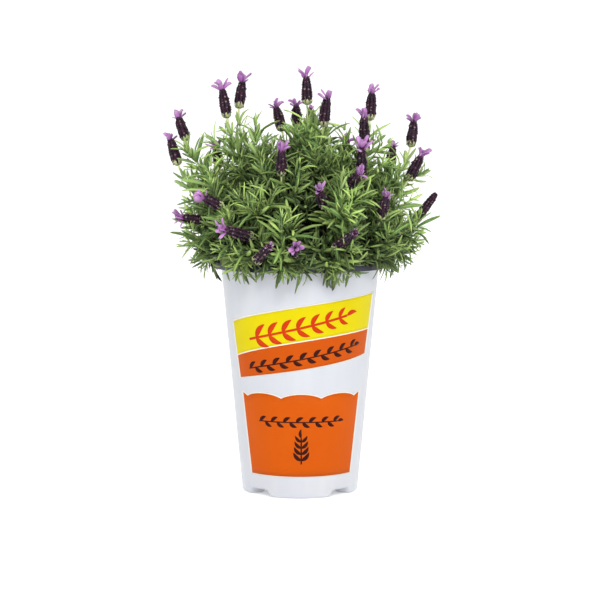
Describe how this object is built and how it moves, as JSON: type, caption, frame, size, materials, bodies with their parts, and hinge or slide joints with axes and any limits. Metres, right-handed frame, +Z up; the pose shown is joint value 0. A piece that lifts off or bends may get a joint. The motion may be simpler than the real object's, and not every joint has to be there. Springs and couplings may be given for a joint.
{
  "type": "potted lavender",
  "caption": "Bushy lavender with purple flower spikes on long stems, growing in a tall tapered nursery pot with a turned-down rim and a notched foot.",
  "frame": {"origin": "centre of the pot's foot, on the surface that the pot stands on", "axes": "+Z up along the pot's axis; the printed front of the pot faces -Y; +X to the right seen from the front"},
  "size_m": [0.2319, 0.2253, 0.3526],
  "materials": {
    "pot": "satin",
    "mix": "matte",
    "bark": "matte",
    "flower": "matte",
    "leaf": "matte"
  },
  "bodies": {
    "root": {"nursery_pot": "pot", "potting_mix": "mix", "woody_crown": "bark", "flower_stem_01": "flower", "flower_stem_02": "flower", "flower_stem_03": "flower", "flower_stem_04": "flower", "flower_stem_05": "flower", "flower_stem_06": "flower", "flower_stem_07": "flower", "flower_stem_08": "flower", "flower_stem_09": "flower", "flower_stem_10": "flower", "flower_stem_11": "flower", "flower_stem_12": "flower", "flower_stem_13": "flower", "flower_stem_14": "flower", "flower_stem_15": "flower", "flower_stem_16": "flower", "flower_stem_17": "flower", "flower_stem_18": "flower", "flower_stem_19": "flower", "flower_stem_20": "flower", "flower_stem_21": "flower", "flower_stem_22": "flower", "flower_stem_23": "flower", "flower_stem_24": "flower", "flower_stem_25": "flower", "flower_stem_26": "flower", "flower_stem_27": "flower", "flower_stem_28": "flower", "flower_stem_29": "flower", "flower_stem_30": "flower", "flower_stem_31": "flower", "flower_stem_32": "flower", "leafy_shoot_01": "leaf", "leafy_shoot_02": "leaf", "leafy_shoot_03": "leaf", "leafy_shoot_04": "leaf", "leafy_shoot_05": "leaf", "leafy_shoot_06": "leaf", "leafy_shoot_07": "leaf", "leafy_shoot_08": "leaf", "leafy_shoot_09": "leaf", "leafy_shoot_10": "leaf", "leafy_shoot_11": "leaf", "leafy_shoot_12": "leaf", "leafy_shoot_13": "leaf", "leafy_shoot_14": "leaf", "leafy_shoot_15": "leaf", "leafy_shoot_16": "leaf", "leafy_shoot_17": "leaf", "leafy_shoot_18": "leaf", "leafy_shoot_19": "leaf", "leafy_shoot_20": "leaf", "leafy_shoot_21": "leaf", "leafy_shoot_22": "leaf", "leafy_shoot_23": "leaf", "leafy_shoot_24": "leaf", "leafy_shoot_25": "leaf"}
  },
  "joints": []
}
